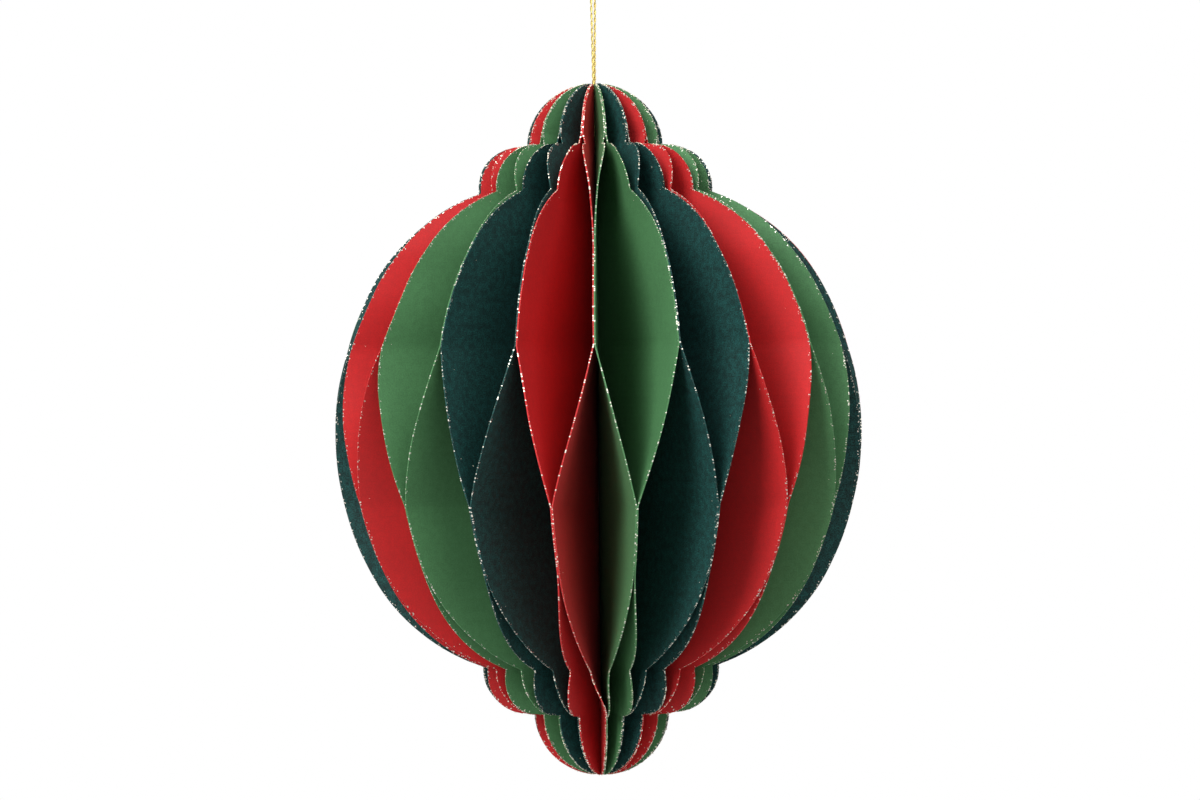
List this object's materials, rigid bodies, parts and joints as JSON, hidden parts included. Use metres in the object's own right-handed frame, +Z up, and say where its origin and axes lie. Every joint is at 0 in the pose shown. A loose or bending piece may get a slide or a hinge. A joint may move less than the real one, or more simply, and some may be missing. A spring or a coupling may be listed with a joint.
{
  "type": "hanging paper honeycomb bauble",
  "caption": "Hanging honeycomb bauble of folded card sheets in red, green and teal, with a domed tier at each end and a doubled gold cord.",
  "frame": {"origin": "middle of the paper body, on the spine's axis, halfway up its height", "axes": "+Z up along the spine towards the hanging loop, -Y the front, +X to the right seen from the front"},
  "size_m": [0.1146, 0.1143, 0.175],
  "materials": {
    "red_card": "matt dyed card with glitter glued on its cut edges",
    "green_card": "matt dyed card with glitter glued on its cut edges",
    "teal_card": "matt dyed card with glitter glued on its cut edges",
    "gold_cord": "metallic gold twisted cord"
  },
  "bodies": {
    "root": {"red_sheet_1": "red_card", "green_sheet_1": "green_card", "teal_sheet_1": "teal_card", "red_sheet_2": "red_card", "green_sheet_2": "green_card", "teal_sheet_2": "teal_card", "red_sheet_3": "red_card", "green_sheet_3": "green_card", "teal_sheet_3": "teal_card", "red_sheet_4": "red_card", "green_sheet_4": "green_card", "teal_sheet_4": "teal_card", "red_sheet_5": "red_card", "green_sheet_5": "green_card", "teal_sheet_5": "teal_card", "red_sheet_6": "red_card", "green_sheet_6": "green_card", "teal_sheet_6": "teal_card", "hanging_cord": "gold_cord", "cord_knot": "gold_cord"}
  },
  "joints": []
}
